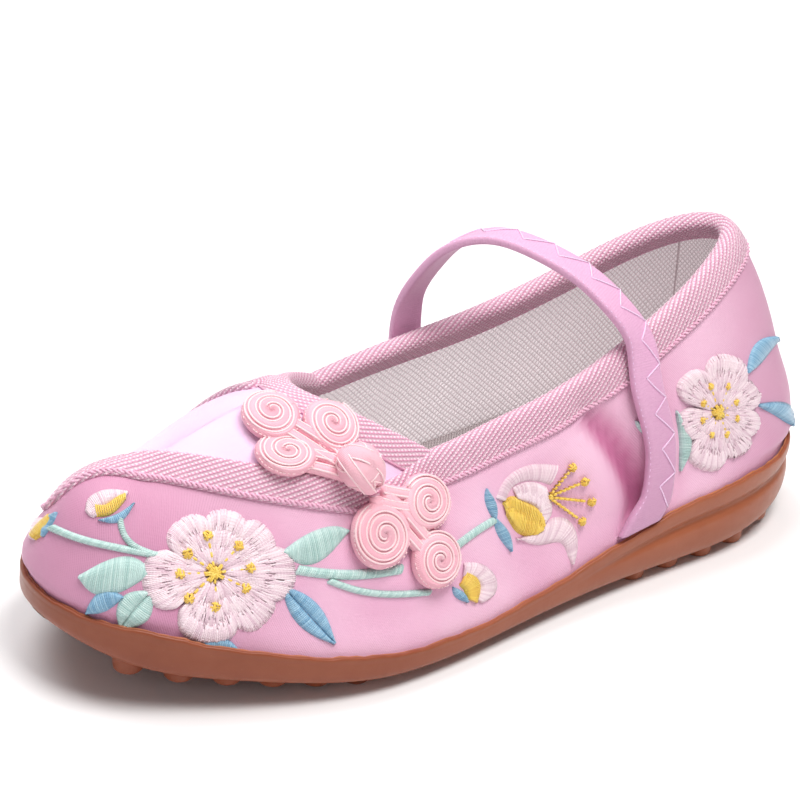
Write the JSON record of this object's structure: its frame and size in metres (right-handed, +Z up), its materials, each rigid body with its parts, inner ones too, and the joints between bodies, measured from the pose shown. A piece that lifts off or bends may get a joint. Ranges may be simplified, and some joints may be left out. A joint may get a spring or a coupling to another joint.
{
  "type": "cloth shoe",
  "caption": "Embroidered satin slip-on shoe with bound collar, instep strap, coiled frog closure and a studded low wedge rubber sole.",
  "frame": {"origin": "on the ground plane under the middle of the bounding box, where the studs stand", "axes": "+X along the shoe from toe to heel, +Y towards the inner side of this left shoe, +Z up"},
  "size_m": [0.176, 0.0714, 0.0665],
  "materials": {
    "rubber_sole": "semi-gloss caramel moulded rubber",
    "canvas_insole": "matt off-white woven canvas",
    "satin_upper": "pink satin, soft sheen",
    "elastic_strap": "lilac-pink elastic band, fine texture",
    "satin_cord": "salmon pink satin cord"
  },
  "bodies": {
    "root": {"outsole": "rubber_sole", "insole": "canvas_insole", "upper": "satin_upper", "strap": "elastic_strap", "frog_knot_half": "satin_cord", "frog_loop_half": "satin_cord"}
  },
  "joints": []
}
